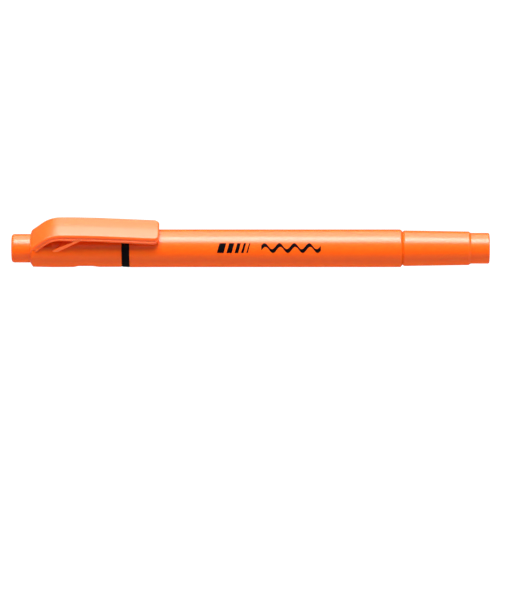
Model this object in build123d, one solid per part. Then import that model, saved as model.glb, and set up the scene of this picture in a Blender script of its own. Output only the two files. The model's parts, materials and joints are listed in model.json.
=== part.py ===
from build123d import *
import math
import os

# Twin-tip highlighter: a barrel with a bold nib at one end and a fine nib at the other, and a cap on each.
# Millimetres. The pen's axis is X and the origin is the middle of the barrel's grip, on the axis.
# +X points to the fine end, +Z to the clip's side.

# Lengths along the pen
grip_length = 60.0            # the barrel's true cylinder, centred on the origin
barrel_bold_length = 39.9     # from the middle of the grip
barrel_fine_length = 40.1
ring_width = 2.15             # flange of the bold section, the black ring
cap_gap = 0.05                # between a cap's mouth and what it closes against
bold_cap_length = 26.75       # mouth to step
bold_tail_length = 5.6
fine_cap_length = 19.95       # mouth to step
fine_tail_length = 5.45

# Outside radii
grip_radius = 5.525
barrel_bold_radius = 5.56
barrel_fine_radius = 5.515
barrel_fine_rim = 4.87        # where the chamfer at the fine end stops
ring_radius = 5.55
bold_mouth_radius = 5.45
bold_cap_radius = 5.53        # widest, near the clip's root
bold_shoulder_radius = 5.42
bold_tail_radius = 4.175
recess_offset = 11.35         # shallow recess under the bold cap, from the cap's step
recess_length = 10.8
recess_depth = 0.44
fine_mouth_radius = 4.87
fine_cap_radius = 5.21
fine_shoulder_radius = 4.92
fine_tail_radius = 4.5

# Fits. Each cap also fits the other cap's tail, where it is kept while writing.
play = 0.05                   # radial clearance where a cap slides and turns
press = 0.02                  # radial clearance drawn where pieces are pressed together
bold_seat_radius = fine_tail_radius
fine_seat_radius = bold_tail_radius
snap_height = 0.03            # snap bead above a seat
bold_seat_length = 8.2
fine_seat_length = 6.4
plug_length = 7.0

# Inside the caps
bold_room_radius = 4.45
bold_tail_bore = 3.15
fine_room_radius = 3.95
fine_tail_bore = 3.3
shoulder_wall = 1.2           # between a cap's step and the room inside
end_wall = 1.1                # at a tail's end

# Nib holders
plug_hollow = 3.9             # bore of a plug, round the reservoir's end
bold_neck_radius = 3.6        # groove between the seat and the collar
bold_collar_radius = 3.81     # what the inner cap seals against
bold_cone_radius = 3.45
bold_nose_radius = 2.95
bold_nib_shows = 5.8          # how much of the nib stands out of the nose
fine_neck_radius = 3.1
fine_collar_radius = 3.31
fine_cone_radius = 2.85
fine_nose_radius = 1.25
fine_nib_shows = 2.7

# Inside the barrel
barrel_bore = 4.62
rib_count = 4
rib_height = 0.35
rib_width = 0.8
reservoir_radius = 4.1
film_thickness = 0.09
nib_grip = 5.5                # how far a nib reaches into the reservoir

# Nibs
bold_nib_height = 4.4
bold_nib_width = 3.0
bold_nib_reach = 21.4         # from the bold cap's mouth to the nib's point
bold_nib_slant = 50.0         # degrees between the writing edge and the pen's axis
bold_nib_edge = 1.5           # thickness left at the point
bold_nib_cheek = 3.6          # length of the thinned sides
fine_nib_radius = 0.8
fine_point_radius = 0.5
fine_nib_reach = 17.8         # from the fine cap's mouth to the nib's point

# Clip
clip_length = 37.75           # root to tip
clip_half_width = 4.45
clip_root_inset = 0.12        # from the cap's step to the root
clip_crest_height = 9.45      # highest line, above the pen's axis
clip_crest_offset = 9.05      # from the cap's step to the highest point
clip_drop = 1.3               # from the crest to the top of the tip
clip_root_angle = 43.0
clip_root_bend = 8.4          # radius of the bend above the root
clip_thickness = 2.1
clip_gap = 0.15               # between the tip and the barrel
clip_corner = 1.75            # tip corners, from above
clip_edge = 1.0               # rounding of the top edges
strut_slope = 29.0
strut_thickness = 1.15
strut_foot_offset = 5.85      # from the cap's step to the top of the strut's foot
window_end_offset = 13.3      # from the cap's step to the window's point
hinge_offset = 15.6           # from the cap's step to the line where the arm bends
hinge_radius = 0.75
clip_swing = 7.0              # degrees of room for the arm to bend up

# Stations along X
bold_end = -barrel_bold_length
fine_end = barrel_fine_length
bold_mouth = bold_end - ring_width - cap_gap
bold_step = bold_mouth - bold_cap_length
bold_tip = bold_step - bold_tail_length
fine_mouth = fine_end + cap_gap
fine_step = fine_mouth + fine_cap_length
fine_tip = fine_step + fine_tail_length
reservoir_half = barrel_bold_length - plug_length - 0.3
clip_tip = bold_step + clip_length
hinge_x = bold_step + hinge_offset
hinge_z = clip_crest_height - 1.2
foot_depth = 2.7              # how low the clip's feet reach, inside the cap's wall
strut_foot_height = 3.17      # of the strut's top face, at its foot's offset


def turned(*corners):
    """A solid turned round the pen's axis. Each corner is (x, radius), or (x, radius, rounding)."""
    points = [corner[:2] for corner in corners]
    roundings = [corner[2] if len(corner) > 2 else 0 for corner in corners]
    outline = FilletPolyline(*points, radius=roundings, close=True)
    return revolve(make_face(outline), Axis.X)


def rod(start, end, radius):
    """A plain round rod along the axis."""
    return turned((start, 0), (start, radius), (end, radius), (end, 0))


def across(face, half_width=10.0):
    """A prism across the pen, from a face drawn in the plane of its axis and the clip."""
    return Pos(0, half_width, 0) * extrude(face, 2 * half_width)


def side_prism(*corners):
    """A prism across the pen from an outline of (x, z) corners."""
    return across(Plane.XZ * make_face(Polyline(*corners, close=True)))


# Barrel

def barrel():
    """Open tube, with ribs inside that hold the reservoir off the wall."""
    grip = grip_length / 2
    tube = turned(
        (bold_end, barrel_bore),
        (bold_end, barrel_bold_radius, 0.25),
        (-grip, grip_radius),
        (grip, grip_radius),
        (fine_end - 0.55, barrel_fine_radius, 0.2),
        (fine_end, barrel_fine_rim),
        (fine_end, barrel_bore),
    )
    rib = Box(2 * reservoir_half, rib_width, 2 * rib_height)
    for k in range(rib_count):
        turn = Rot(360 * k / rib_count + 45, 0, 0)
        tube += turn * Pos(0, 0, barrel_bore) * rib
    return tube


# Bold end

def bold_section():
    """Black nib holder: a plug in the barrel, the ring that shows, the cap's seat and the nose."""
    seat_end = bold_mouth - bold_seat_length
    seat_radius = bold_seat_radius - snap_height
    nose_end = bold_mouth - bold_nib_reach + bold_nib_shows
    bead = seat_end + 5.0
    body = turned(
        (bold_end + plug_length, 0),
        (bold_end + plug_length, barrel_bore - press, 0.2),
        (bold_end, barrel_bore - press),
        (bold_end, ring_radius, 0.12),
        (bold_end - ring_width, ring_radius - 0.12, 0.12),
        (bold_end - ring_width, seat_radius),
        (bead + 0.5, seat_radius),
        (bead, bold_seat_radius + snap_height),
        (bead - 0.5, seat_radius),
        (seat_end, seat_radius, 0.2),
        (seat_end, bold_neck_radius),
        (seat_end - 0.6, bold_neck_radius),
        (seat_end - 0.9, bold_collar_radius, 0.1),
        (seat_end - 1.9, bold_collar_radius, 0.1),
        (seat_end - 2.2, bold_cone_radius),
        (nose_end + 0.6, bold_nose_radius + 0.3, 0.4),
        (nose_end, bold_nose_radius, 0.2),
        (nose_end, 0),
    )
    hollow = rod(bold_end + 1.0, bold_end + plug_length + 1, plug_hollow)
    socket = nib_prism(nose_end - 1, bold_end + 2, press)
    vent = Pos((nose_end + bold_end) / 2, bold_nib_width / 2, 0) * Box(
        abs(nose_end) - abs(bold_end) + 4, 1.0, 0.7
    )
    return body - hollow - socket - vent


def nib_prism(start, end, margin=0.0):
    """The bold nib's rod, or its socket with a margin, from start to end along the axis."""
    section = RectangleRounded(
        bold_nib_width + 2 * margin, bold_nib_height + 2 * margin, 1.1 + margin
    )
    return extrude(Plane((start, 0, 0), x_dir=(0, 1, 0), z_dir=(1, 0, 0)) * section, end - start)


def bold_nib():
    """Felt nib cut to a chisel: a slanted writing edge, thinned from both flat sides."""
    point = bold_mouth - bold_nib_reach
    stem = nib_prism(point, -reservoir_half + nib_grip)
    rise = bold_nib_height / math.tan(math.radians(bold_nib_slant))
    half = bold_nib_height / 2
    slant = side_prism(
        (point - 1, -half - 1),
        (point - 1, half + 1),
        (point + rise + rise / bold_nib_height, half + 1),
        (point - rise / bold_nib_height, -half - 1),
    )
    nib = stem - slant
    for side in (1, -1):
        outside = side * (bold_nib_width / 2 + 0.01)
        cheek = Polyline(
            (point - 1, side * bold_nib_edge / 2),
            (point + bold_nib_cheek, outside),
            (point - 1, outside),
            close=True,
        )
        nib -= extrude(make_face(cheek), half + 1, both=True)
    return nib


# Fine end

def fine_section():
    """Black nib holder of the fine end: a plug flush with the barrel, the cap's seat and a cone."""
    seat_end = fine_mouth + fine_seat_length
    seat_radius = fine_seat_radius - snap_height
    nose_end = fine_mouth + fine_nib_reach - fine_nib_shows
    bead = fine_mouth + 2.4
    body = turned(
        (fine_end - plug_length, 0),
        (fine_end - plug_length, barrel_bore - press, 0.2),
        (fine_end, barrel_bore - press),
        (fine_end, seat_radius),
        (bead - 0.5, seat_radius),
        (bead, fine_seat_radius + snap_height),
        (bead + 0.5, seat_radius),
        (seat_end, seat_radius, 0.2),
        (seat_end, fine_neck_radius),
        (seat_end + 1.0, fine_neck_radius),
        (seat_end + 1.2, fine_collar_radius, 0.1),
        (seat_end + 2.0, fine_collar_radius, 0.1),
        (seat_end + 2.3, fine_cone_radius),
        (nose_end, fine_nose_radius, 0.25),
        (nose_end, 0),
    )
    hollow = rod(fine_end - plug_length - 1, fine_end - 1.0, plug_hollow)
    socket = rod(fine_end - 2, nose_end + 1, fine_nib_radius + press)
    vent = Pos((fine_end + nose_end) / 2, fine_nib_radius, 0) * Box(
        nose_end - fine_end + 4, 0.5, 0.5
    )
    return body - hollow - socket - vent


def fine_nib():
    """Thin porous rod with a rounded point."""
    point = fine_mouth + fine_nib_reach
    return turned(
        (reservoir_half - nib_grip, 0),
        (reservoir_half - nib_grip, fine_nib_radius, 0.1),
        (point - 1.6, fine_nib_radius, 0.6),
        (point, fine_point_radius, 0.45),
        (point, 0),
    )


# Ink

def ink_reservoir():
    """Bundled fibre rod with a socket for each nib."""
    fibre = rod(-reservoir_half, reservoir_half, reservoir_radius)
    bold_socket = nib_prism(-reservoir_half - 1, -reservoir_half + nib_grip + 0.1, press)
    fine_socket = rod(
        reservoir_half - nib_grip - 0.1, reservoir_half + 1, fine_nib_radius + press
    )
    return fibre - bold_socket - fine_socket


def reservoir_film():
    """Film wrapped round the fibre rod, a little shorter than the rod."""
    inner = reservoir_radius + press
    outer = inner + film_thickness
    half = reservoir_half - 0.5
    return rod(-half, half, outer) - rod(-half - 1, half + 1, inner)


# Bold cap

def bold_shell():
    """The cap's outside, closed, with the shallow recess across its underside."""
    shell = turned(
        (bold_tip, 0),
        (bold_tip, bold_tail_radius, 0.85),
        (bold_step, bold_tail_radius),
        (bold_step, bold_tail_radius + 0.25, 0.1),
        (bold_step + 0.65, bold_shoulder_radius, 0.25),
        (bold_step + 6.5, bold_cap_radius),
        (bold_mouth, bold_mouth_radius, 0.28),
        (bold_mouth, 0),
    )
    return shell - underside_recess()


def underside_recess():
    """What the recess takes away: everything outside a core whose axis sits above the pen's."""
    start = bold_step + recess_offset
    end = start + recess_length
    clear = bold_cap_radius + 1.2 * recess_depth
    core = turned(
        (start, 0),
        (start, clear),
        (start + 2.6, bold_cap_radius, 1.5),
        (end - 4.1, bold_cap_radius - 0.03, 1.5),
        (end, clear),
        (end, 0),
    )
    return rod(start, end, clear + 1) - Pos(0, 0, recess_depth) * core


def bold_cavity():
    """The cap's inside: the mouth bore, the room for the inner cap, and the hollow tail."""
    bore_end = bold_mouth - bold_seat_length - 0.3
    room_end = bold_step + shoulder_wall
    return turned(
        (bold_mouth + 1, 0),
        (bold_mouth + 1, bold_seat_radius + play),
        (bore_end, bold_seat_radius + play),
        (bore_end, bold_room_radius),
        (room_end, bold_room_radius, 0.3),
        (room_end, bold_tail_bore),
        (bold_tip + end_wall, bold_tail_bore, 0.4),
        (bold_tip + end_wall, 0),
    )


def clip_side():
    """The clip seen from the side, as a face across the pen: root leg, arm and tip in one."""
    angle = math.radians(clip_root_angle)
    slope = (math.cos(angle), math.sin(angle))
    crest = (bold_step + clip_crest_offset, clip_crest_height)
    under = (crest[0] + 0.5, crest[1] - clip_thickness)
    outer_start = bend_start(crest)
    inner_start = bend_start(under)
    outer_foot = foot_of(outer_start)
    inner_foot = foot_of(inner_start)
    tip_top = (clip_tip, crest[1] - clip_drop)
    tip_under = (clip_tip, grip_radius + clip_gap)
    outline = [
        Line(outer_foot, outer_start),
        JernArc(outer_start, slope, clip_root_bend, -clip_root_angle),
        drooping(crest, tip_top),
        Line(tip_top, tip_under),
        drooping(under, tip_under),
        JernArc(inner_start, slope, clip_root_bend, -clip_root_angle),
        Line(inner_start, inner_foot),
        Line(inner_foot, outer_foot),
    ]
    return Plane.XZ * make_face(Wire(outline))


def drooping(start, end):
    """A line that leaves start level and falls to end in an even curve."""
    slope = 2 * (end[1] - start[1]) / (end[0] - start[0])
    return Spline(start, end, tangents=[(1, 0), (1, slope)])


def bend_start(top):
    """Where the bend above the root begins, for a bend that ends level at top."""
    angle = math.radians(clip_root_angle)
    return (
        top[0] - clip_root_bend * math.sin(angle),
        top[1] - clip_root_bend * (1 - math.cos(angle)),
    )


def foot_of(point):
    """Where the root's slope through point reaches down inside the cap's wall."""
    return (point[0] - (point[1] - foot_depth) / math.tan(math.radians(clip_root_angle)), foot_depth)


def clip_outline():
    """The clip's limits seen from above: parallel sides and round tip corners."""
    plan = FilletPolyline(
        (bold_step + clip_root_inset, -clip_half_width),
        (clip_tip, -clip_half_width),
        (clip_tip, clip_half_width),
        (bold_step + clip_root_inset, clip_half_width),
        radius=[0, clip_corner, clip_corner, 0],
        close=True,
    )
    return extrude(make_face(plan), 2 * clip_crest_height)


def clip_blank():
    """The clip's root leg and arm as one piece, with the edges of its top face rounded."""
    blank = across(clip_side()) & clip_outline()
    top_faces = [face for face in blank.faces() if face.normal_at().Z > 0.5]
    rims = [
        edge
        for face in top_faces
        for edge in face.edges()
        if abs(edge.center().Y) > clip_half_width / 2 or edge.center().X > clip_tip - 0.1
    ]
    return fillet(rims, clip_edge)


def strut():
    """The slanted strut from the cap's wall up to the underside of the arm."""
    slope = math.tan(math.radians(strut_slope))
    top_foot = bold_step + strut_foot_offset
    top_end = bold_step + window_end_offset
    rise = strut_foot_height + (top_end - top_foot) * slope
    drop = strut_thickness / math.cos(math.radians(strut_slope))
    return side_prism(
        (top_foot - (strut_foot_height - foot_depth) / slope, foot_depth),
        (top_end + 0.6, rise + 0.6 * slope),
        (top_end + 2.2, rise + 0.6 * slope),
        (top_foot + drop / slope, foot_depth),
    )


def knuckle(radius):
    """The round bar across the clip that the arm bends about."""
    return Plane.XZ * Pos(hinge_x, hinge_z) * Cylinder(radius, 20)


def bold_cap():
    """Orange cap: shell, hollow inside, with the clip's root leg and strut on top."""
    truss = clip_blank() + (strut() & clip_outline())
    fixed = truss & Pos(hinge_x - 25, 0, 0) * Box(50, 20, 40)
    fixed -= knuckle(hinge_radius + play)
    return bold_shell() + fixed - bold_cavity()


def clip_arm():
    """The free length of the clip, with a round root that turns in the end of the fixed part."""
    free = clip_blank() & Pos(hinge_x + 25 + cap_gap, 0, 0) * Box(50, 20, 40)
    relief = side_prism(
        (hinge_x, hinge_z),
        (hinge_x, hinge_z + 4),
        (hinge_x + 4 * math.tan(math.radians(clip_swing)) + cap_gap, hinge_z + 4),
    )
    root = clip_blank() & knuckle(hinge_radius)
    return free - relief + root


# Inner caps

def bold_inner_cap():
    """White sealing cup pressed into the bold cap. Its mouth closes round the nose."""
    mouth = bold_mouth - bold_seat_length - 0.35
    end = bold_step + shoulder_wall + 0.1
    seal = bold_collar_radius + 0.04
    return turned(
        (mouth, seal),
        (mouth, 4.4, 0.15),
        (mouth - 4.0, 4.4, 0.1),
        (mouth - 4.3, 4.15),
        (end, 4.0, 1.0),
        (end, 0),
        (end + 0.7, 0),
        (end + 0.7, 3.4, 0.8),
        (mouth - 3.4, 3.55),
        (mouth - 2.8, seal),
    )


def fine_inner_cap():
    """White sealing cup pressed into the fine cap. Its mouth closes round the cone's root."""
    mouth = fine_mouth + fine_seat_length + 0.7
    end = fine_step + 0.85
    seal = fine_collar_radius + 0.05
    return turned(
        (mouth, seal),
        (mouth, 3.9, 0.15),
        (mouth + 3.6, 3.9, 0.1),
        (mouth + 4.4, 3.15),
        (end, 3.0, 0.9),
        (end, 0),
        (end - 0.6, 0),
        (end - 0.6, 2.4, 0.7),
        (mouth + 3.6, 2.6),
        (mouth + 2.8, seal),
    )


# Fine cap

def fine_cap():
    """Orange cap of the fine end: slightly conical, stepped down to a flat-ended tail."""
    shell = turned(
        (fine_mouth, 0),
        (fine_mouth, fine_mouth_radius),
        (fine_mouth + 0.5, fine_cap_radius, 0.15),
        (fine_step - 0.6, fine_shoulder_radius, 0.15),
        (fine_step, fine_tail_radius),
        (fine_tip, fine_tail_radius, 0.38),
        (fine_tip, 0),
    )
    bore_end = fine_mouth + fine_seat_length + 0.3
    room_end = fine_step - shoulder_wall
    cavity = turned(
        (fine_mouth - 1, 0),
        (fine_mouth - 1, fine_seat_radius + play),
        (bore_end, fine_seat_radius + play),
        (bore_end, fine_room_radius),
        (room_end, fine_room_radius, 0.3),
        (room_end, fine_tail_bore),
        (fine_tip - end_wall, fine_tail_bore, 0.4),
        (fine_tip - end_wall, 0),
    )
    return shell - cavity


pieces = {
    "barrel": barrel,
    "bold_section": bold_section,
    "bold_nib": bold_nib,
    "fine_section": fine_section,
    "fine_nib": fine_nib,
    "ink_reservoir": ink_reservoir,
    "reservoir_film": reservoir_film,
    "bold_cap": bold_cap,
    "clip_arm": clip_arm,
    "bold_inner_cap": bold_inner_cap,
    "fine_cap": fine_cap,
    "fine_inner_cap": fine_inner_cap,
}

os.makedirs("parts", exist_ok=True)
for name, make in pieces.items():
    export_step(make(), f"parts/{name}.step")
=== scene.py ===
import json
import math

import bmesh
import bpy
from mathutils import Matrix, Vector


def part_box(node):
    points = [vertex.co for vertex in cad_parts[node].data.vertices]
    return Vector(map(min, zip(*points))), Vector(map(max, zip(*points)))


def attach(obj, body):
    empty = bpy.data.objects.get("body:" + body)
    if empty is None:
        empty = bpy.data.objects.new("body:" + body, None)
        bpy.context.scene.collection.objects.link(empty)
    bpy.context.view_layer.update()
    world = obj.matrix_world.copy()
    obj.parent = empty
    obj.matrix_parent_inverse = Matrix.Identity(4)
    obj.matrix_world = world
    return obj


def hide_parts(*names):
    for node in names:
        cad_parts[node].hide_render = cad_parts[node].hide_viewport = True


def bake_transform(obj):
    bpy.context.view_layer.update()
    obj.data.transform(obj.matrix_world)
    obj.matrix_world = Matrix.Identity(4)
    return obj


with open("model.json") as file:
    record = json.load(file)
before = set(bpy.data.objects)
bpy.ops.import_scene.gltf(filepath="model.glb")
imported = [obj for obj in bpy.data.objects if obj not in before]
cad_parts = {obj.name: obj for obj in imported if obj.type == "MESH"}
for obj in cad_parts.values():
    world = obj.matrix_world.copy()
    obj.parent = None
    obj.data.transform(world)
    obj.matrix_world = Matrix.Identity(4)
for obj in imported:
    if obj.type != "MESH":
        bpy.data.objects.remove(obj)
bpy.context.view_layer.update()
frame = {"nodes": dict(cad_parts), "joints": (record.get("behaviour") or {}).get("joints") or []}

# A capped twin-tip highlighter. Shapes are worked out in millimetres, in the CAD frame:
# the pen's axis is X, the bold end is at -X, and the clip is on the +Z side.
MM = 0.001
ROUND_SEGMENTS = 256
ARC_STEPS = 8
HOLD = 0.04            # how far from a rounding a holding point sits
SHARP = 0.03           # rounding of edges that look sharp


# Places, from the CAD nodes

def span(node):
    """Lowest and highest X of a CAD node."""
    low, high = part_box(node)
    return low.x / MM, high.x / MM


BARREL_START, BARREL_END = span("barrel")
BOLD_TIP, BOLD_MOUTH = span("bold_cap")
FINE_MOUTH, FINE_TIP = span("fine_cap")
SECTION_NOSE = span("bold_section")[0]
CLIP_TIP = span("clip_arm")[1]
BOLD_STEP = BOLD_TIP + 5.6       # where each cap steps down to its tail
FINE_STEP = FINE_TIP - 5.45
WIDEST_X = BOLD_STEP + 6.5       # where the bold cap is at its widest
RING_START = BOLD_MOUTH + 0.05   # the black ring shows between here and the barrel
HINGE = [j for j in frame["joints"] if j["name"] == "clip_flex"][0]["pos_m"][0] / MM

# Radii
GRIP = 5.525             # the barrel's straight middle
BORE = 4.62              # inside the barrel
RING = 5.55              # the black ring
BOLD_SEAT = 4.47         # the nib holder's part inside the bold cap
BOLD_CAP = 5.53          # the bold cap at its widest
BOLD_SHOULDER = 5.42     # the bold cap at its step
BOLD_LIP = 5.45          # the bold cap at its mouth
BOLD_TAIL = 4.175
FINE_TAIL = 4.5
WALL_MIDDLE = 5.1        # inside the bold cap's wall

FLOOR_BELOW = 14         # the floor's depth under the axis

# Print
PRINT_LIFT = 0.012       # how far the ink stands above the barrel
PRINT_SUNK = 0.04        # how far each mark's underside is sunk in it

# Clip
CLIP_WALL = 4.25         # half width where the top edges' rounding ends
CLIP_LEDGE = 0.27        # how far the rail along each side stands out below it
CLIP_ROUND = 0.93        # rounding of the top edges
CLIP_TIP_ROUND = 0.5
CLIP_CORNER = 1.75       # corners of the tip, from above
CLIP_CROWN = 0.4         # rise of the top face from its edges to its middle
CLIP_CREST = 9.04        # height of the top edges above the axis, at their highest
CREST_X = BOLD_STEP + 9.05
ROOT_SLOPE = math.radians(43)
ROOT_BEND = 8.2
BEND_X = CREST_X - ROOT_BEND * math.sin(ROOT_SLOPE)          # where the root leg's slope ends
BEND_Z = CLIP_CREST - ROOT_BEND * (1 - math.cos(ROOT_SLOPE))

# Finishes of the orange plastic. grain_scale is in features per millimetre, grain_height in millimetres
SMOOTH_FINISH = {"roughness": 0.24, "sheen": 0.5, "grain_scale": 5, "grain_height": 0.001}
SATIN_FINISH = {"roughness": 0.35, "sheen": 0.66, "grain_scale": 7, "grain_height": 0.004}


# Outlines

def arc_corner(before, corner, after, radius, steps=ARC_STEPS):
    """Points that round one corner of an outline, with a holding point on each side."""
    to_before = (Vector(before) - Vector(corner)).normalized()
    to_after = (Vector(after) - Vector(corner)).normalized()
    half = to_before.angle(to_after) / 2
    reach = radius / math.tan(half)
    centre = Vector(corner) + (to_before + to_after).normalized() * (radius / math.sin(half))
    start = Vector(corner) + to_before * reach - centre
    end = Vector(corner) + to_after * reach - centre
    turn = start.angle_signed(end)
    points = [Vector(corner) + to_before * (reach + HOLD)]
    for k in range(steps + 1):
        share = turn * k / steps
        # angle_signed is clockwise, so the turn back is by minus the share
        c, s = math.cos(-share), math.sin(-share)
        points.append(centre + Vector((start.x * c - start.y * s, start.x * s + start.y * c)))
    points.append(Vector(corner) + to_after * (reach + HOLD))
    return points


def rounded(corners):
    """A closed outline from (x, r) or (x, r, rounding) corners. Corners on the axis stay sharp."""
    points = []
    count = len(corners)
    for k, corner in enumerate(corners):
        here = corner[:2]
        radius = corner[2] if len(corner) > 2 else SHARP
        if abs(here[1]) < 1e-6:
            points.append(Vector(here))
            continue
        before = corners[k - 1][:2]
        after = corners[(k + 1) % count][:2]
        points += arc_corner(before, here, after, radius)
    return points


# Meshes

def make_piece(name, points, faces, material, smooth=True):
    """A mesh object from points in millimetres."""
    mesh = bpy.data.meshes.new(name)
    mesh.from_pydata([Vector(p) * MM for p in points], [], faces)
    tidy = bmesh.new()
    tidy.from_mesh(mesh)
    bmesh.ops.remove_doubles(tidy, verts=tidy.verts, dist=1e-8)
    bmesh.ops.recalc_face_normals(tidy, faces=tidy.faces)
    tidy.to_mesh(mesh)
    tidy.free()
    for face in mesh.polygons:
        face.use_smooth = smooth
    mesh.materials.append(material)
    piece = bpy.data.objects.new(name, mesh)
    bpy.context.scene.collection.objects.link(piece)
    return piece


def lathe(name, outline, material, shape=None):
    """A mesh turned round the pen's axis. shape(x, radius, angle) may change a point's radius."""
    points = []
    rings = []
    for x, radius in outline:
        first = len(points)
        if radius < 1e-6:
            points.append((x, 0, 0))
            rings.append([first] * ROUND_SEGMENTS)
            continue
        for k in range(ROUND_SEGMENTS):
            angle = 2 * math.pi * k / ROUND_SEGMENTS
            r = shape(x, radius, angle) if shape else radius
            points.append((x, r * math.sin(angle), r * math.cos(angle)))
        rings.append(list(range(first, first + ROUND_SEGMENTS)))
    faces = []
    for a, b in zip(rings, rings[1:] + rings[:1]):
        if a[0] == a[1] and b[0] == b[1]:
            continue
        for k in range(ROUND_SEGMENTS):
            n = (k + 1) % ROUND_SEGMENTS
            corners = [a[k], a[n], b[n], b[k]]
            faces.append(list(dict.fromkeys(corners)))
    return make_piece(name, points, faces, material)


def sweep(name, sections, material):
    """A mesh through closed sections of equal counts, with both ends filled."""
    count = len(sections[0])
    points = [p for section in sections for p in section]
    faces = []
    for s in range(len(sections) - 1):
        a, b = s * count, (s + 1) * count
        for k in range(count):
            n = (k + 1) % count
            faces.append((a + k, a + n, b + n, b + k))
    faces.append(tuple(range(count)))
    faces.append(tuple(range(len(points) - count, len(points))))
    return make_piece(name, points, faces, material)


def smooth_least(a, b, width):
    """The smaller of a and b, blended where they are within width of each other."""
    h = max(0.0, min(1.0, 0.5 + 0.5 * (b - a) / width))
    return b + (a - b) * h - width * h * (1 - h)


# Materials

def new_material(name, colour, roughness):
    """A principled material and its node tree, ready for detail."""
    material = bpy.data.materials.new(name)
    material.use_nodes = True
    tree = material.node_tree
    shader = tree.nodes["Principled BSDF"]
    shader.inputs["Base Color"].default_value = (*colour, 1)
    shader.inputs["Roughness"].default_value = roughness
    return material, tree, shader


def add_math(tree, operation, first, second):
    """A math node's result. Each operand is a number or a node's output."""
    node = tree.nodes.new("ShaderNodeMath")
    node.operation = operation
    for slot_input, operand in zip(node.inputs, (first, second)):
        if isinstance(operand, (int, float)):
            slot_input.default_value = operand
        else:
            tree.links.new(operand, slot_input)
    return node.outputs["Value"]


def noise(tree, scale, detail=3.0):
    """Noise over the object's own coordinates. scale is in features per millimetre."""
    place = tree.nodes.new("ShaderNodeTexCoord")
    texture = tree.nodes.new("ShaderNodeTexNoise")
    texture.inputs["Scale"].default_value = scale / MM
    texture.inputs["Detail"].default_value = detail
    tree.links.new(place.outputs["Object"], texture.inputs["Vector"])
    return texture.outputs["Fac"]


def spread(tree, value, low, high):
    """Maps a 0 to 1 value to low to high."""
    node = tree.nodes.new("ShaderNodeMapRange")
    node.inputs["From Min"].default_value = 0.3
    node.inputs["From Max"].default_value = 0.7
    node.inputs["To Min"].default_value = low
    node.inputs["To Max"].default_value = high
    tree.links.new(value, node.inputs["Value"])
    return node.outputs["Result"]


def mottle(tree, shader, colour, scale, amount):
    """Varies the base colour a little, darker and lighter by amount."""
    mix = tree.nodes.new("ShaderNodeMix")
    mix.data_type = "RGBA"
    mix.inputs["A"].default_value = (*[c * (1 - amount) for c in colour], 1)
    mix.inputs["B"].default_value = (*[min(1.0, c * (1 + amount)) for c in colour], 1)
    tree.links.new(spread(tree, noise(tree, scale), 0.0, 1.0), mix.inputs["Factor"])
    tree.links.new(mix.outputs["Result"], shader.inputs["Base Color"])


def grain(tree, shader, scale, height):
    """Fine surface relief. height is in millimetres."""
    bump = tree.nodes.new("ShaderNodeBump")
    bump.inputs["Strength"].default_value = 1.0
    bump.inputs["Distance"].default_value = height * MM
    tree.links.new(noise(tree, scale), bump.inputs["Height"])
    tree.links.new(bump.outputs["Normal"], shader.inputs["Normal"])


def orange_plastic(name, roughness, sheen, grain_scale, grain_height):
    """Opaque fluorescent orange polypropylene: slightly translucent, fine grain, semi-gloss."""
    colour = (0.98, 0.113, 0.002)
    material, tree, shader = new_material(name, colour, roughness)
    mottle(tree, shader, colour, 0.5, 0.02)
    variation = spread(tree, noise(tree, 1.5), roughness * 0.93, roughness * 1.07)
    tree.links.new(variation, shader.inputs["Roughness"])
    grain(tree, shader, grain_scale, grain_height)
    shader.inputs["IOR"].default_value = 1.49
    shader.inputs["Specular IOR Level"].default_value = sheen
    shader.inputs["Subsurface Weight"].default_value = 0.35
    shader.inputs["Subsurface Radius"].default_value = (1.0, 0.25, 0.08)
    shader.inputs["Subsurface Scale"].default_value = 1.2 * MM
    return material


def black_plastic():
    """Black polypropylene with a soft sheen."""
    colour = (0.003, 0.0025, 0.0035)
    material, tree, shader = new_material("black_plastic", colour, 0.35)
    shader.inputs["Specular IOR Level"].default_value = 0.1
    mottle(tree, shader, colour, 0.8, 0.1)
    grain(tree, shader, 12, 0.002)
    return material


def white_plastic():
    """Natural polyethylene: waxy and a little translucent."""
    colour = (0.86, 0.85, 0.82)
    material, tree, shader = new_material("white_plastic", colour, 0.45)
    mottle(tree, shader, colour, 0.4, 0.03)
    grain(tree, shader, 6, 0.004)
    shader.inputs["Subsurface Weight"].default_value = 0.3
    shader.inputs["Subsurface Radius"].default_value = (1.0, 0.9, 0.8)
    shader.inputs["Subsurface Scale"].default_value = 0.8 * MM
    return material


def felt():
    """Bonded felt soaked in orange ink: rough, fibrous, darker in its hollows."""
    colour = (1.0, 0.15, 0.01)
    material, tree, shader = new_material("bold_felt", colour, 0.75)
    mottle(tree, shader, colour, 3.0, 0.25)
    grain(tree, shader, 7, 0.06)
    return material


def fibre(name, colour):
    """Parallel fibres along the pen, soaked in ink."""
    material, tree, shader = new_material(name, colour, 0.6)
    place = tree.nodes.new("ShaderNodeTexCoord")
    stretch = tree.nodes.new("ShaderNodeMapping")
    stretch.inputs["Scale"].default_value = (0.05, 1, 1)
    strands = tree.nodes.new("ShaderNodeTexNoise")
    strands.inputs["Scale"].default_value = 14 / MM
    bump = tree.nodes.new("ShaderNodeBump")
    bump.inputs["Distance"].default_value = 0.03 * MM
    tree.links.new(place.outputs["Object"], stretch.inputs["Vector"])
    tree.links.new(stretch.outputs["Vector"], strands.inputs["Vector"])
    tree.links.new(strands.outputs["Fac"], bump.inputs["Height"])
    tree.links.new(bump.outputs["Normal"], shader.inputs["Normal"])
    mottle(tree, shader, colour, 4, 0.15)
    return material


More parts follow.
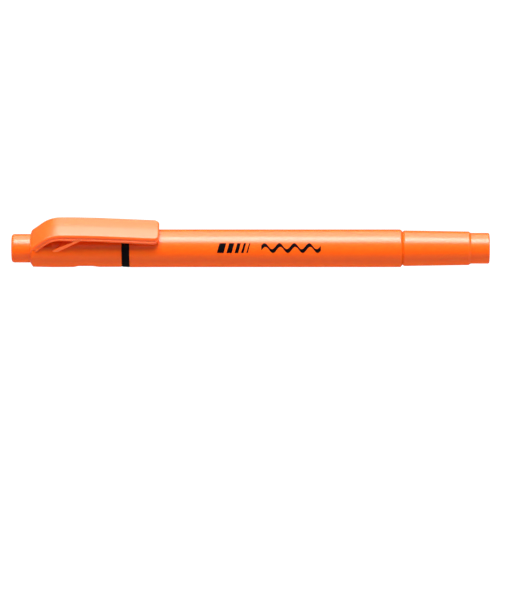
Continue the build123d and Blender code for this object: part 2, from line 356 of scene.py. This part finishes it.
def clear_film():
    """Thin clear film with faint ripples."""
    material, tree, shader = new_material("clear_film", (0.95, 0.9, 0.85), 0.1)
    shader.inputs["Transmission Weight"].default_value = 0.9
    grain(tree, shader, 2, 0.01)
    return material


def print_ink():
    """Black pad-printing ink, a little rougher than the plastic."""
    colour = (0.003, 0.0025, 0.0035)
    material, tree, shader = new_material("print_ink", colour, 0.5)
    shader.inputs["Specular IOR Level"].default_value = 0.02
    mottle(tree, shader, colour, 3.0, 0.15)
    grain(tree, shader, 10, 0.003)
    return material


def painted_edge_light(name):
    """The clip's orange, with painted light on the sides of a thin web: they glow orange to stand in for
    the light that falls on them.
    """
    material = orange_plastic(name, **SATIN_FINISH)
    tree = material.node_tree
    shader = tree.nodes["Principled BSDF"]
    place = tree.nodes.new("ShaderNodeTexCoord")
    parts = tree.nodes.new("ShaderNodeSeparateXYZ")
    tree.links.new(place.outputs["Object"], parts.inputs["Vector"])
    outward = add_math(tree, "ABSOLUTE", parts.outputs["Y"], 0.0)
    # painted light: the web's sides, just outside the clip's wall, glow orange
    edge = tree.nodes.new("ShaderNodeMapRange")
    edge.inputs["From Min"].default_value = (CLIP_WALL + 0.05) * MM
    edge.inputs["From Max"].default_value = (CLIP_WALL + 0.15) * MM
    edge.inputs["To Max"].default_value = 0.25
    tree.links.new(outward, edge.inputs["Value"])
    shader.inputs["Emission Color"].default_value = (1.0, 0.18, 0.03, 1)
    tree.links.new(edge.outputs["Result"], shader.inputs["Emission Strength"])
    return material


barrel_orange = orange_plastic("orange_barrel", **SMOOTH_FINISH)
cap_orange = orange_plastic("orange_caps", **SMOOTH_FINISH)
clip_orange = orange_plastic("orange_clip", **SATIN_FINISH)
# the strut's material, with painted light glowing on its sides
web_orange_painted_light = painted_edge_light("orange_web_painted_light")
black = black_plastic()
white = white_plastic()
ink = print_ink()


# Barrel

def barrel():
    """The barrel's tube: straight in the middle, a touch wider at the bold end,
    chamfered at the fine end."""
    straight_end = 30
    outline = rounded([
        (BARREL_START, BORE),
        (BARREL_START, 5.56, 0.25),
        (-straight_end, GRIP, 5),
        (straight_end, GRIP, 5),
        (BARREL_END - 0.55, 5.515, 0.2),
        (BARREL_END, 4.87),
        (BARREL_END, BORE),
    ])
    piece = lathe("barrel_shell", outline, barrel_orange)
    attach(piece, "barrel")
    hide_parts("barrel")


def on_barrel(x, s, lift):
    """A point lift above the barrel, s millimetres round it from the line that faces the clip's side."""
    angle = s / GRIP - math.radians(45)
    r = GRIP + lift
    return (x, r * math.sin(angle), r * math.cos(angle))


def mark(name, left, right, strips=6):
    """A printed mark between two rails of (x, s) points: a thin shell that follows the barrel."""
    sections = []
    for a, b in zip(left, right):
        top = []
        under = []
        for k in range(strips + 1):
            t = k / strips
            x = a[0] + (b[0] - a[0]) * t
            s = a[1] + (b[1] - a[1]) * t
            top.append(on_barrel(x, s, PRINT_LIFT))
            under.append(on_barrel(x, s, -PRINT_SUNK))
        sections.append(top + under[::-1])
    piece = sweep(name, sections, ink)
    for face in piece.data.polygons:
        face.use_smooth = False
    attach(piece, "barrel")


def slanted_bar(name, x, width, height, lean):
    """One bar of the print, leaning towards the fine end."""
    steps = 12
    left = []
    for k in range(steps + 1):
        t = k / steps - 0.5
        left.append((x + lean * (t + 0.5), height * t))
    right = [(px + width, s) for px, s in left]
    mark(name, left, right, 2)


def wave(name, start, length, height, thick, thin, turns):
    """A stroke sample: a wave as a chisel edge draws it, thick one way and thin the other."""
    steps = 96
    left = []
    right = []
    for k in range(steps + 1):
        t = k / steps
        phase = 2 * math.pi * turns * t
        x = start + length * t
        s = height / 2 * math.sin(phase)
        width = thin + (thick - thin) * (0.5 + 0.5 * math.cos(phase))
        left.append((x, s - width / 2))
        right.append((x, s + width / 2))
    mark(name, left, right, 3)


def printing():
    """Generic black marks: bars from broad to fine, then a drawn wave."""
    widths = (2.0, 1.5, 1.05, 0.7, 0.4)
    gap = 0.85
    x = -14.3
    for k, width in enumerate(widths):
        slanted_bar(f"print_bar_{k}", x, width, height=2.9, lean=0.8)
        x += width + gap
    wave("print_wave", start=-1.3, length=17.4, height=1.75, thick=1.5, thin=0.75, turns=4)


# Bold end

def bold_section():
    """The black nib holder: plug, ring, seat with its snap bead, and nose."""
    plug_end = BARREL_START + 7
    seat_end = BOLD_MOUTH - 8.2
    bead = seat_end + 5.0
    nose = SECTION_NOSE
    outline = rounded([
        (plug_end, 0),
        (plug_end, BORE - 0.02, 0.2),
        (BARREL_START, BORE - 0.02),
        (BARREL_START, RING, 0.12),
        (RING_START, RING - 0.12, 0.16),
        (RING_START, BOLD_SEAT),
        (bead + 0.5, BOLD_SEAT),
        (bead, BOLD_SEAT + 0.06, 0.4),
        (bead - 0.5, BOLD_SEAT),
        (seat_end, BOLD_SEAT, 0.2),
        (seat_end, 3.6),
        (seat_end - 0.6, 3.6),
        (seat_end - 0.9, 3.81, 0.1),
        (seat_end - 1.9, 3.81, 0.1),
        (seat_end - 2.2, 3.45),
        (nose + 0.6, 3.25, 0.4),
        (nose, 2.95, 0.2),
        (nose, 0),
    ])
    piece = lathe("bold_holder", outline, black)
    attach(piece, "barrel")
    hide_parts("bold_section")


def recess_limit(x, angle):
    """Radius of the shallow recess under the bold cap, at a point round the axis. angle is from +Z."""
    start = BOLD_STEP + 11.35
    end = start + 10.8
    no_limit = 9.0
    if x <= start or x >= end:
        return no_limit
    depth = 0.44
    rise = 1.2 * depth
    entry_ramp = 2.6
    exit_ramp = 4.1
    into = rise * max(0.0, 1 - (x - start) / entry_ramp)
    out = rise * max(0.0, 1 - (end - x) / exit_ramp)
    radius = BOLD_CAP + max(into, out)
    return depth * math.cos(angle) + math.sqrt(radius ** 2 - (depth * math.sin(angle)) ** 2)


def leg_limit(x, radius, angle):
    """Radius that keeps the bold cap's end under the root leg's sloping face."""
    upward = math.cos(angle)
    under_sides = 0.3
    if upward < under_sides:
        return radius
    face = BEND_Z - (BEND_X - x) * math.tan(ROOT_SLOPE) + crown(radius * math.sin(angle))
    below = 0.45
    return (face - below) / upward


def cap_radius(x):
    """Outside radius of the bold cap between its step and its mouth, without the recess."""
    if x < WIDEST_X:
        return BOLD_SHOULDER + (BOLD_CAP - BOLD_SHOULDER) * (x - BOLD_STEP) / (WIDEST_X - BOLD_STEP)
    return BOLD_CAP + (BOLD_LIP - BOLD_CAP) * (x - WIDEST_X) / (BOLD_MOUTH - WIDEST_X)


def bold_cap():
    """The bold cap's shell: outside with its step and recess, and the hollow inside."""
    seat_bore = 4.55
    bore = 4.45
    tail_bore = 3.2
    seat_end = BOLD_MOUTH - 8.5
    bore_end = BOLD_STEP + 1.2
    end_wall = BOLD_TIP + 1.1
    outline = rounded([
        (BOLD_TIP, 0),
        (BOLD_TIP, BOLD_TAIL, 0.85),
        (BOLD_STEP, BOLD_TAIL, 0.1),
        (BOLD_STEP, BOLD_TAIL + 0.25, 0.1),
        (BOLD_STEP + 0.65, BOLD_SHOULDER, 0.25),
        (WIDEST_X, BOLD_CAP, 5),
        (BOLD_MOUTH, BOLD_LIP, 0.28),
        (BOLD_MOUTH, seat_bore, 0.1),
        (seat_end, seat_bore),
        (seat_end, bore),
        (bore_end, bore, 0.3),
        (bore_end, tail_bore),
        (end_wall, tail_bore - 0.1, 0.4),
        (end_wall, 0),
    ])
    # more rings where the recess needs them
    dense_start = BOLD_STEP + 11.0
    dense_length = 11.6
    dense_steps = 60
    dense = []
    for k in range(dense_steps + 1):
        x = dense_start + dense_length * k / dense_steps
        dense.append(Vector((x, cap_radius(x))))
    place = [k for k, p in enumerate(outline) if p.x > dense_start and p.y > 5.3][0]
    outline[place:place] = dense

    def shape(x, radius, angle):
        under_leg = BOLD_STEP - 0.05 < x < BOLD_STEP + 1.9
        if under_leg and radius > BOLD_TAIL + 0.02:
            return min(radius, leg_limit(x, radius, angle))
        if radius < WALL_MIDDLE:
            return radius
        return smooth_least(radius, recess_limit(x, angle), 0.08)

    piece = lathe("bold_cap_shell", outline, cap_orange, shape)
    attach(piece, "bold_cap")
    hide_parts("bold_cap")


# Clip

def clip_path():
    """Stations along the clip's top edges: (x, z, slope angle)."""
    leg = 7.2
    leg_steps = 24
    bend_steps = 24
    arm_steps = 40
    corner_steps = 28
    corner_start = CLIP_TIP - CLIP_CORNER
    stations = []
    for k in range(leg_steps):
        back = leg * (1 - k / leg_steps)
        x = BEND_X - back * math.cos(ROOT_SLOPE)
        z = BEND_Z - back * math.sin(ROOT_SLOPE)
        stations.append((x, z, ROOT_SLOPE))
    for k in range(bend_steps + 1):
        slope = ROOT_SLOPE * (1 - k / bend_steps)
        x = CREST_X - ROOT_BEND * math.sin(slope)
        z = CLIP_CREST - ROOT_BEND * (1 - math.cos(slope))
        stations.append((x, z, slope))
    for k in range(1, arm_steps + 1):
        x = CREST_X + (corner_start - CREST_X) * k / arm_steps
        stations.append((x, *droop(x)))
    for k in range(1, corner_steps + 1):
        x = CLIP_TIP - CLIP_CORNER * (1 - math.sin(math.radians(90 * k / corner_steps)))
        stations.append((x, *droop(x)))
    return stations


def droop(x):
    """Height and slope of the top edges between the crest and the tip: a gentle bend, then straight."""
    along = x - CREST_X
    fall = 0.002
    bend = 15.0
    if along < bend:
        return CLIP_CREST - fall * along ** 2, -2 * fall * along
    slope = 2 * fall * bend
    return CLIP_CREST - fall * bend ** 2 - slope * (along - bend), -slope


def clip_thickness(x):
    """How far the underside is below the top edges, growing a little towards the tip."""
    at_root = 1.74
    growth = 0.34
    return at_root + growth * max(0.0, min(1.0, (x - CREST_X) / (CLIP_TIP - CREST_X)))


def half_width(x):
    """Half the clip's width at x, with its round tip corners."""
    inset = CLIP_CORNER - (CLIP_TIP - x)
    if inset <= 0:
        return CLIP_WALL
    return CLIP_WALL - CLIP_CORNER + math.sqrt(max(0.0, CLIP_CORNER ** 2 - inset ** 2))


def edge_distance(x, y):
    """Distance from a point of the clip, seen from above, to its outline,
    and how far the nearest edge faces the tip: 0 for a side, 1 for the tip."""
    dx = x - (CLIP_TIP - CLIP_CORNER)
    dy = abs(y) - (CLIP_WALL - CLIP_CORNER)
    if dx > 0 and dy > 0:
        length = math.hypot(dx, dy)
        return CLIP_CORNER - length, (dx / length) ** 2 if length else 0.5
    if dx > dy:
        return CLIP_CORNER - dx, 1.0
    return CLIP_CORNER - dy, 0.0


def edge_drop(x, y, side_round, tip_round):
    """How far the rounding of an edge lowers the face at a point."""
    distance, facing = edge_distance(x, y)
    radius = side_round + (tip_round - side_round) * facing
    if distance >= radius:
        return 0.0
    return radius - math.sqrt(max(0.0, radius ** 2 - (radius - distance) ** 2))


def crown(y):
    """Rise of the top face above its edges, with a faint crease along the middle."""
    crease_depth = 0.04
    crease_width = 0.2
    t = min(1.0, abs(y) / (CLIP_WALL - CLIP_ROUND))
    crease = crease_depth * math.exp(-(y / crease_width) ** 2)
    return CLIP_CROWN * (1 - t ** 1.2) - crease


def foot_flare(x, y, z):
    """Swells a side wall just above the cap, for the rail's soft rounded toe."""
    above = math.hypot(y, z) - cap_radius(x)
    middle = 0.2
    radius = 0.26
    swell = 0.2
    wall = 4.2
    if abs(above - middle) >= radius or abs(y) < wall or x > HINGE:
        return y
    reach = swell * math.sqrt(1 - ((above - middle) / radius) ** 2)
    return y + math.copysign(reach, y)


def clip_section(x, z, slope):
    """One closed section of the clip, square to its path: top face, rail, underside, rail."""
    width = half_width(x)
    down = Vector((math.sin(slope), 0, -math.cos(slope)))
    steps = 14
    inner = max(0.3, width - CLIP_ROUND)
    across = [inner * k / steps for k in range(steps)]
    # two points close to the middle, for the crease
    across[1] = 0.12
    across[2] = 0.3
    for k in range(steps + 1):
        turn = math.radians(90 * (1 - k / steps))
        across.append(width - CLIP_ROUND * (1 - math.cos(turn)))
    thick = clip_thickness(x)
    half = []
    for y in across:
        depth = edge_drop(x, y, CLIP_ROUND, CLIP_TIP_ROUND) - crown(y)
        half.append((y, depth))
    # the side wall, the rail's rounded ledge and the rail's lower edge
    wall_height = 0.3
    half.append((width + 0.01, half[-1][1] + wall_height))
    rail_top = half[-1][1] + 0.03
    for degrees in (60, 30, 0):
        turn = math.radians(degrees)
        drop = CLIP_LEDGE / 2 * (1 - math.sin(turn))
        half.append((width + CLIP_LEDGE * math.cos(turn), rail_top + drop))
    rail = width + CLIP_LEDGE
    half.append((rail, thick - 0.2))
    half.append((rail, thick - 0.12))
    half.append((rail - 0.03, thick - 0.03))
    half.append((rail - 0.12, thick))
    for share in (0.9, 0.6, 0.3, 0.0):
        half.append((width * share - (0.12 if share == 0.9 else 0), thick))
    mirrored = [(-y, depth) for y, depth in half[-2:0:-1]]
    section = []
    for y, depth in half + mirrored:
        point = Vector((x, y, z)) + down * depth
        point.x = -smooth_least(-point.x, -(BOLD_STEP + 0.12), 0.7)
        point.x = min(point.x, CLIP_TIP)
        point.y = foot_flare(point.x, point.y, point.z)
        section.append(point)
    return section


def clip():
    """Root leg and arm in one piece."""
    sections = [clip_section(*station) for station in clip_path()]
    piece = sweep("clip", sections, clip_orange)
    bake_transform(piece)
    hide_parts("clip_arm")


def strut_outline(y):
    """The strut's side view at y, as far down as the cap's wall there."""
    foot = BOLD_STEP + 5.95
    foot_length = 2.55
    apex = BOLD_STEP + 13.3
    slope = 0.54
    under_slope = 0.6
    foot_top = 3.17
    lowest = 2.85
    in_arm = 7.5
    sunk = math.sqrt(max(0.0, WALL_MIDDLE ** 2 - y ** 2))
    bottom = max(lowest, sunk)
    deep = foot_top - bottom
    return rounded([
        (foot - deep / slope, bottom, 0.42),
        (apex, foot_top + slope * (apex - foot), 0.35),
        (apex - 0.8, in_arm - 0.16, 0.05),
        (apex - 0.7, in_arm),
        (apex + 2.4, in_arm),
        (apex + 1.45, in_arm - 0.52, 0.3),
        (foot + foot_length - deep / under_slope, bottom, 0.55),
    ])


def toe_swell(z):
    """How far the strut's sides stand out at height z: most at the toe, none at the arm."""
    swell = 0.22
    toe_top = 3.2
    fade = 1.6
    return swell * max(0.0, 1 - max(0.0, z - toe_top) / fade)


def strut():
    """The slanted strut under the arm, with a small fillet in the window's point."""
    edge = 0.32
    edge_steps = 6
    flat_steps = 12
    flat = CLIP_WALL + CLIP_LEDGE - edge - 0.03
    stations = []
    for k in range(edge_steps + 1):
        turn = math.radians(90 * k / edge_steps)
        stations.append((flat + edge * math.sin(turn), edge * (1 - math.cos(turn))))
    middle = [(flat * k / flat_steps, 0.0) for k in range(1 - flat_steps, flat_steps)]
    near = [(-y, amount) for y, amount in reversed(stations)]
    sections = []
    for y, amount in near + middle + stations:
        section = inset(strut_outline(y), y, amount)
        if abs(y) >= flat:
            for point in section:
                point.y += math.copysign(toe_swell(point.z), y)
        sections.append(section)
    piece = sweep("clip_strut", sections, web_orange_painted_light)
    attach(piece, "bold_cap")


def inset(outline, y, amount):
    """A section across the pen at y: an (x, z) outline drawn in by amount."""
    section = []
    count = len(outline)
    for k, point in enumerate(outline):
        along = (outline[(k + 1) % count] - outline[k - 1]).normalized()
        moved = point + Vector((along.y, -along.x)) * amount
        section.append(Vector((moved.x, y, moved.y)))
    return section


# Fine cap

def fine_cap():
    """The fine cap's shell: chamfered mouth, slight taper, step and flat-ended tail, hollow inside."""
    seat_bore = 4.195
    bore = 3.95
    tail_bore = 3.35
    seat_end = FINE_MOUTH + 6.7
    bore_end = FINE_STEP - 1.2
    end_wall = FINE_TIP - 1.1
    outline = rounded([
        (FINE_TIP, 0),
        (FINE_TIP, FINE_TAIL, 0.38),
        (FINE_STEP, FINE_TAIL, 0.08),
        (FINE_STEP - 0.6, 4.92, 0.15),
        (FINE_MOUTH + 0.5, 5.21, 0.15),
        (FINE_MOUTH, 4.87, 0.06),
        (FINE_MOUTH, seat_bore, 0.1),
        (seat_end, seat_bore),
        (seat_end, bore),
        (bore_end, bore, 0.3),
        (bore_end, tail_bore),
        (end_wall, tail_bore - 0.1, 0.4),
        (end_wall, 0),
    ])
    piece = lathe("fine_cap_shell", outline, cap_orange)
    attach(piece, "fine_cap")
    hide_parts("fine_cap")


# Pieces that show their CAD shape

def dress(node, material):
    """Gives a CAD node its material and smooth shading."""
    piece = frame["nodes"][node]
    piece.data.materials.clear()
    piece.data.materials.append(material)
    weld = piece.modifiers.new("weld", "WELD")
    weld.merge_threshold = 0.001 * MM
    for face in piece.data.polygons:
        face.use_smooth = True
    piece.data.set_sharp_from_angle(angle=math.radians(30))


# Stage

def by_ray(tree, other, glossy, seen):
    """A value that differs for the camera's rays, for mirror-like rays and for all others."""
    path = tree.nodes.new("ShaderNodeLightPath")
    value = other
    for is_ray, level in (("Is Glossy Ray", glossy), ("Is Camera Ray", seen)):
        mix = tree.nodes.new("ShaderNodeMix")
        for name, operand in (("A", value), ("B", level)):
            if isinstance(operand, (int, float)):
                mix.inputs[name].default_value = operand
            else:
                tree.links.new(operand, mix.inputs[name])
        tree.links.new(path.outputs[is_ray], mix.inputs["Factor"])
        value = mix.outputs["Result"]
    return value


def floor():
    """A wide pale floor, low enough for the bent clip when its cap is turned to the underside.
    Mirror-like rays see it darker, which keeps the plastic's colour deep."""
    size = 3.0
    low = -FLOOR_BELOW * MM
    mesh = bpy.data.meshes.new("floor")
    corners = [(-size, -size, low), (size, -size, low), (size, size, low), (-size, size, low)]
    mesh.from_pydata(corners, [], [(0, 1, 2, 3)])
    plane = bpy.data.objects.new("floor", mesh)
    bpy.context.scene.collection.objects.link(plane)
    material, tree, shader = new_material("floor", (0.06, 0.06, 0.06), 0.9)
    material.cycles.emission_sampling = "NONE"
    shader.inputs["Specular IOR Level"].default_value = 0.0
    shader.inputs["Emission Color"].default_value = (1, 1, 1, 1)
    glow = by_ray(tree, other=1.24, glossy=0.05, seen=1.0)
    tree.links.new(glow, shader.inputs["Emission Strength"])
    mesh.materials.append(material)


def by_angle(tree, share, stops):
    """Brightness from (degrees, level) stops, by the angle round the pen's axis."""
    peak = max(level for degrees, level in stops)
    levels = tree.nodes.new("ShaderNodeValToRGB")
    elements = levels.color_ramp.elements
    elements.remove(elements[-1])
    for k, (degrees, level) in enumerate(stops):
        stop = elements[0] if k == 0 else elements.new(degrees / 180)
        stop.position = degrees / 180
        stop.color = (level / peak, level / peak, level / peak, 1)
    tree.links.new(share, levels.inputs["Fac"])
    return add_math(tree, "MULTIPLY", levels.outputs["Color"], peak)


def within(tree, value, full, none):
    """Changes smoothly from 1 where a value reaches full to 0 where it reaches none."""
    fade = tree.nodes.new("ShaderNodeMapRange")
    fade.interpolation_type = "SMOOTHSTEP"
    fade.inputs["From Min"].default_value = none
    fade.inputs["From Max"].default_value = full
    tree.links.new(value, fade.inputs["Value"])
    return fade.outputs["Result"]


def studio():
    """Soft light all round, with a long softbox overhead and a little behind.
    Its light goes by the angle round the pen's axis:
    0 is the front horizon, 90 overhead and 180 the back horizon.
    Mirror-like rays see a darker front, which keeps the plastic's colour deep,
    and a softbox towards each end, which end-on reflections miss."""
    world = bpy.data.worlds.new("studio")
    bpy.context.scene.world = world
    world.use_nodes = True
    tree = world.node_tree
    tree.nodes.clear()
    place = tree.nodes.new("ShaderNodeTexCoord")
    parts = tree.nodes.new("ShaderNodeSeparateXYZ")
    tree.links.new(place.outputs["Generated"], parts.inputs["Vector"])
    front = add_math(tree, "MULTIPLY", parts.outputs["Y"], -1.0)
    angle = add_math(tree, "ARCTAN2", parts.outputs["Z"], front)
    share = add_math(tree, "DIVIDE", angle, math.pi)
    # the softbox ends to the left and right
    sideways = add_math(tree, "ABSOLUTE", parts.outputs["X"], 0.0)
    box_soft = by_angle(tree, share, ((0, 0), (80, 0), (86, 17), (112, 17), (122, 0), (180, 0)))
    box_mirror = by_angle(tree, share, (
        (0, 0), (76, 0.4), (87, 3), (96, 10), (108, 28), (114, 16),
        (121, 8.5), (130, 6), (144, 4.8), (160, 2.8), (175, 0),
    ))
    end_mirror = by_angle(tree, share, ((0, 0), (55, 0), (78, 6), (104, 6), (122, 0), (180, 0)))
    base_soft = by_angle(tree, share, (
        (0, 0.26), (20, 0.22), (50, 0.16), (80, 0.16), (150, 0.35), (180, 0.3),
    ))
    base_mirror = by_angle(tree, share, (
        (0, 0.06), (25, 0.06), (45, 0.2), (70, 0.55), (90, 1.1), (150, 0.6), (180, 0.2),
    ))
    soft = add_math(tree, "MULTIPLY", box_soft, within(tree, sideways, 0.3, 0.6))
    soft = add_math(tree, "ADD", soft, base_soft)
    mirror = add_math(tree, "MULTIPLY", box_mirror, within(tree, sideways, 0.15, 0.42))
    mirror = add_math(tree, "ADD", mirror, base_mirror)
    end_reach = within(tree, sideways, 0.62, 0.5)
    end_reach = add_math(tree, "MULTIPLY", end_reach, within(tree, sideways, 0.8, 0.92))
    ends = add_math(tree, "MULTIPLY", end_mirror, end_reach)
    mirror = add_math(tree, "ADD", mirror, ends)
    glow = tree.nodes.new("ShaderNodeBackground")
    tree.links.new(by_ray(tree, other=soft, glossy=mirror, seen=1.3), glow.inputs["Strength"])
    output = tree.nodes.new("ShaderNodeOutputWorld")
    tree.links.new(glow.outputs["Background"], output.inputs["Surface"])


def camera():
    """Looks along +Y from 45 degrees above, with a long lens. The pen sits above the picture's middle."""
    distance = 1283.5
    middle_x = -3.86
    raised = 16.05
    look = Vector((0, 1, -1)).normalized()
    up = Vector((0, 1, 1)).normalized()
    aim = Vector((middle_x, 0, 0)) - up * raised
    data = bpy.data.cameras.new("camera")
    data.lens = 260
    data.sensor_width = 36
    data.clip_start = 0.05
    data.clip_end = 10
    seat = bpy.data.objects.new("camera", data)
    seat.location = (aim - look * distance) * MM
    seat.rotation_mode = "QUATERNION"
    seat.rotation_quaternion = look.to_track_quat("-Z", "Y")
    bpy.context.scene.collection.objects.link(seat)
    bpy.context.scene.camera = seat


barrel()
printing()
bold_section()
bold_cap()
clip()
strut()
fine_cap()
dress("fine_section", black)
dress("bold_nib", felt())
dress("fine_nib", fibre("fine_fibre", (1.0, 0.18, 0.02)))
dress("ink_reservoir", fibre("ink_fibre", (1.0, 0.2, 0.03)))
dress("reservoir_film", clear_film())
dress("bold_inner_cap", white)
dress("fine_inner_cap", white)
floor()
studio()
camera()
bpy.context.scene.view_settings.view_transform = "Standard"
